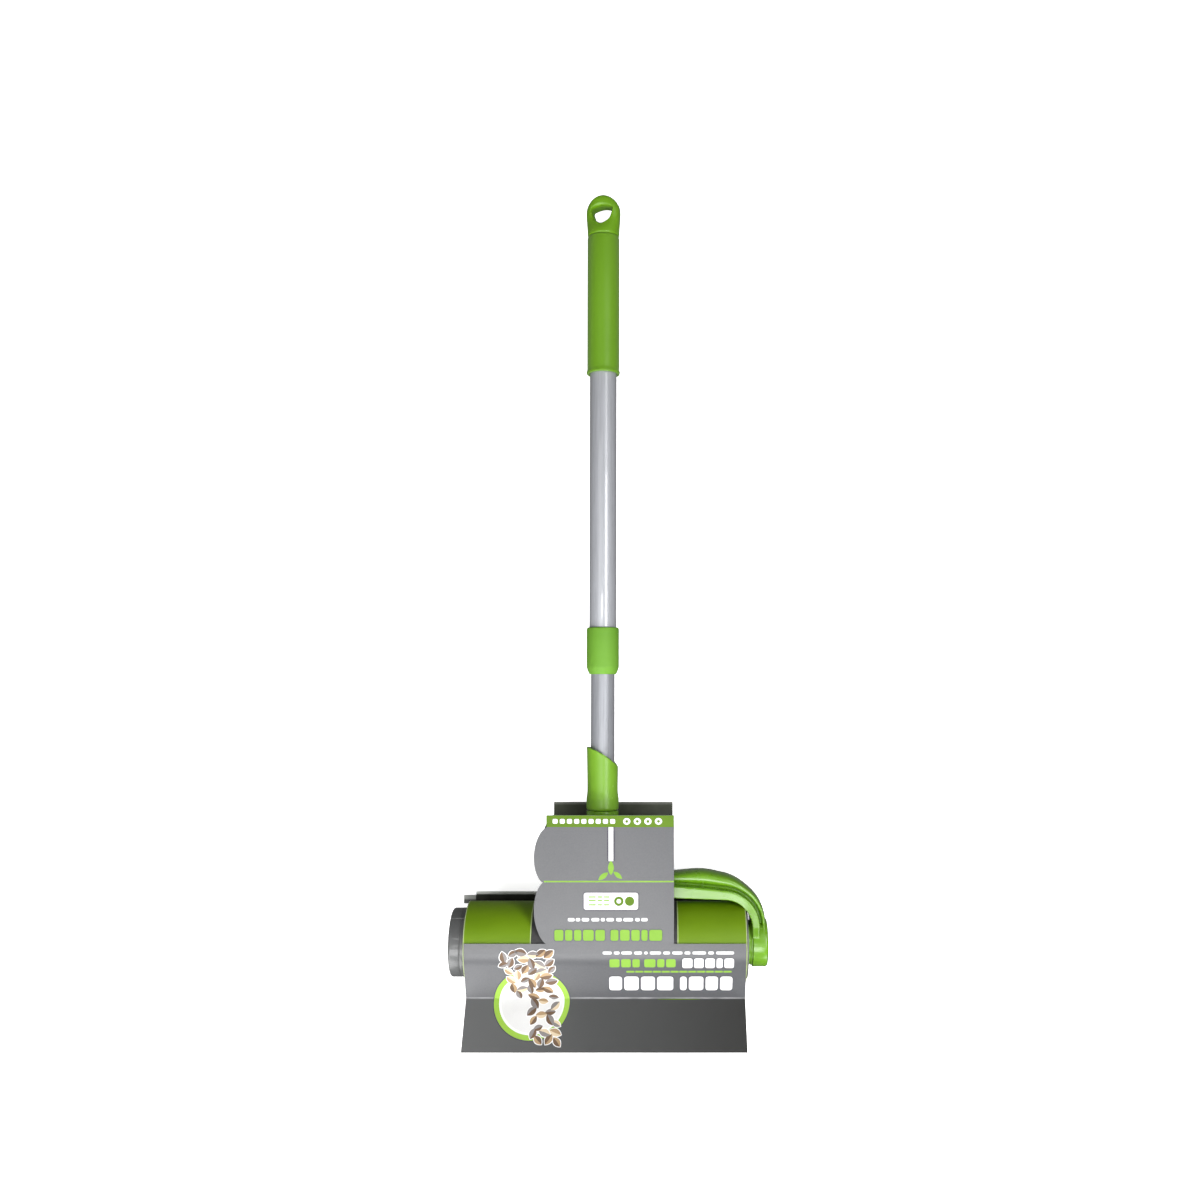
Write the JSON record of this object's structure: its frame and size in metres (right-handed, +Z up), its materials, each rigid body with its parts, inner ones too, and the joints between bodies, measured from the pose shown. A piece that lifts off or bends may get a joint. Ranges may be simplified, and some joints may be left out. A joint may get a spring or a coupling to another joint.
{
  "type": "lint roller",
  "caption": "Long-handled lint roller: one-sided arm, spinning drum with a pull-off paper refill, twist-lock telescopic handle with a hanging loop, and a folded display card round the head.",
  "frame": {"origin": "on the surface it lies on, straight below the middle of the roller axis", "axes": "+X along the roller axis to the arm's hub, +Y along the handle to the grip, +Z up off the surface"},
  "size_m": [0.2897, 0.7818, 0.0898],
  "materials": {
    "green_plastic": "moulded, satin gloss",
    "grip_rubber": "soft moulded sleeve, matt",
    "grey_plastic": "moulded, satin",
    "painted_tube": "pale grey powder coat, satin",
    "white_nylon": "natural nylon",
    "bright_steel": "bright zinc plate",
    "core_board": "raw kraft board",
    "sheet_paper": "coated adhesive paper",
    "green_wrap": "printed green paper",
    "printed_board": "grey printed, satin coated board"
  },
  "bodies": {
    "head": {"head_arm": "green_plastic", "tube_socket": "green_plastic", "lower_tube": "painted_tube", "tube_plug": "white_nylon", "hub_ring": "green_plastic", "hub_cover": "green_plastic", "roller_axle": "bright_steel", "axle_washer": "bright_steel", "axle_screw": "bright_steel"},
    "guide": {"guide_bush": "white_nylon"},
    "upper": {"upper_tube": "painted_tube", "collet": "white_nylon", "grip": "grip_rubber", "hanging_cap": "green_plastic"},
    "collar": {"lock_collar": "green_plastic"},
    "roller": {"drum": "grey_plastic", "end_cap": "grey_plastic", "hub_bush": "white_nylon", "end_bush": "white_nylon"},
    "refill": {"refill_core": "core_board", "adhesive_sheets": "sheet_paper", "outer_wrap": "green_wrap"},
    "card": {"front_card": "printed_board", "back_card": "printed_board"}
  },
  "joints": [
    {"name": "handle_turn", "type": "hinge", "parent": "head", "child": "guide", "pos_m": [-0.004, 0, 0.0379], "axis": [0, 0.9994, -0.0348], "continuous": true},
    {"name": "telescope", "type": "slide", "parent": "guide", "child": "upper", "axis": [0, 0.9994, -0.0348], "range_m": [0, 0.3]},
    {"name": "collar_twist", "type": "hinge", "parent": "upper", "child": "collar", "pos_m": [-0.004, 0, 0.0379], "axis": [0, 0.9994, -0.0348], "range_deg": [0, 120]},
    {"name": "roller_spin", "type": "hinge", "parent": "head", "child": "roller", "pos_m": [0, 0, 0.0379], "axis": [1, 0, 0], "continuous": true},
    {"name": "refill_pull", "type": "slide", "parent": "roller", "child": "refill", "axis": [-1, 0, 0], "range_m": [0, 0.27]},
    {"name": "card_pull", "type": "slide", "parent": "head", "child": "card", "axis": [0, -1, 0], "range_m": [0, 0.18]}
  ]
}
